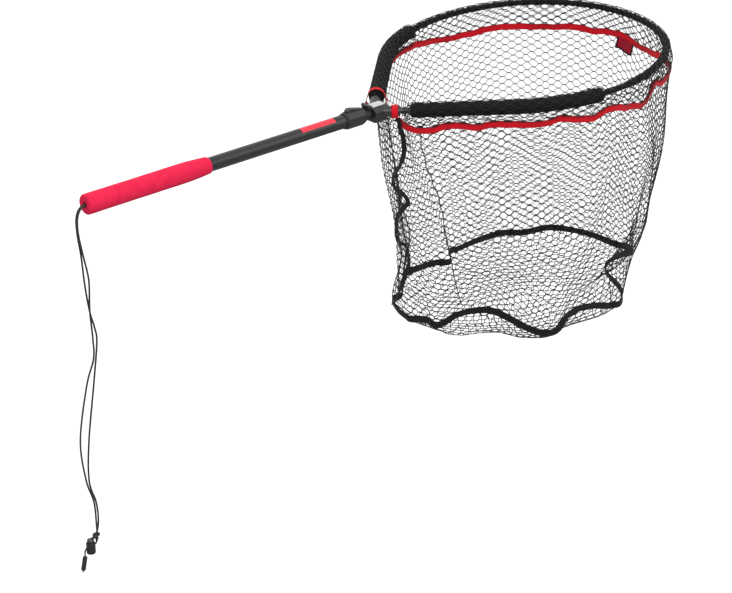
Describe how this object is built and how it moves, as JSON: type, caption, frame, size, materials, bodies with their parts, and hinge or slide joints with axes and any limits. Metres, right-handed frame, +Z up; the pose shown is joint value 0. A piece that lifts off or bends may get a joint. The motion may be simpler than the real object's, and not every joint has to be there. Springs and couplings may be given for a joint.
{
  "type": "landing net",
  "caption": "Fishing landing net with a telescopic foam-gripped handle, a fold-over head, a hoop with float tubes, a deep knotless net bag and a wrist lanyard.",
  "frame": {"origin": "centre of the grip's butt face", "axes": "+X along the handle towards the hoop, +Z up, +Y completes a right-handed set"},
  "size_m": [1.4094, 0.5384, 0.7603],
  "materials": {
    "tube_black": "satin charcoal lacquer on aluminium",
    "grip_foam": "matte red closed-cell foam",
    "black_plastic": "fine moulded grain",
    "gloss_black": "glossy",
    "black_rubber": "matte",
    "steel": "plain stainless",
    "bright_plate": "bright, fine brushing",
    "red_label": "printed band",
    "red_webbing": "woven webbing with dark stitched edges",
    "black_tape": "woven tape",
    "net_mesh": "coated knotless six-sided mesh",
    "float_foam": "matte closed-cell foam under netting",
    "black_cord": "braided cord"
  },
  "bodies": {
    "handle": {"handle_tube": "tube_black", "grip": "grip_foam", "butt_plug": "black_plastic", "cord_anchor_pin": "steel", "cord_loop": "black_cord", "handle_label": "red_label", "collet_bush": "black_plastic", "collar_seal": "black_rubber"},
    "collar": {"lock_collar": "black_plastic"},
    "inner": {"inner_tube": "tube_black", "inner_guide": "black_plastic", "guide_pin": "steel", "hinge_fitting": "black_plastic", "fitting_pin": "steel", "hinge_pin": "steel", "hinge_pin_caps": "steel"},
    "head": {"head_base": "black_plastic", "head_cover": "black_plastic", "cover_screws": "steel", "name_plate": "bright_plate", "arm_screws": "steel", "latch_spring": "steel", "hoop_tube": "tube_black", "float_left": "float_foam", "float_right": "float_foam", "rim_sleeve": "black_tape", "arm_bands": "black_rubber", "webbing_loop_left": "red_webbing", "webbing_loop_right": "red_webbing", "net_bag": "net_mesh", "mouth_tape": "red_webbing", "bottom_tape": "black_tape", "side_tape": "black_tape", "net_tag": "red_webbing"},
    "latch": {"latch_button": "black_plastic"},
    "lanyard": {"lanyard_cord": "black_cord", "stopper_knot": "black_cord", "toggle_body": "gloss_black", "toggle_spring": "steel", "toggle_cord": "black_cord", "end_sleeve": "black_rubber"},
    "plunger": {"toggle_plunger": "gloss_black"}
  },
  "joints": [
    {"name": "collar_twist", "type": "hinge", "parent": "handle", "child": "collar", "pos_m": [0.6, 0, 0], "axis": [1, 0, 0], "range_deg": [0, 90]},
    {"name": "handle_extend", "type": "slide", "parent": "handle", "child": "inner", "axis": [1, 0, 0], "range_m": [0, 0.35]},
    {"name": "head_fold", "type": "hinge", "parent": "inner", "child": "head", "pos_m": [0.633, 0, 0.016], "axis": [0, -1, 0], "range_deg": [0, 170]},
    {"name": "latch_press", "type": "slide", "parent": "head", "child": "latch", "axis": [0, 0, 1], "range_m": [0, 0.003], "stiffness_N_per_m": 900, "springref_m": -0.003, "deforming": ["latch_spring"]},
    {"name": "lanyard_swing", "type": "hinge", "parent": "handle", "child": "lanyard", "pos_m": [-0.007, 0, -0.022], "axis": [0, 1, 0], "range_deg": [-50, 80]},
    {"name": "toggle_press", "type": "slide", "parent": "lanyard", "child": "plunger", "axis": [0, 0, -1], "range_m": [0, 0.004], "stiffness_N_per_m": 500, "springref_m": -0.003, "deforming": ["toggle_spring"]}
  ]
}
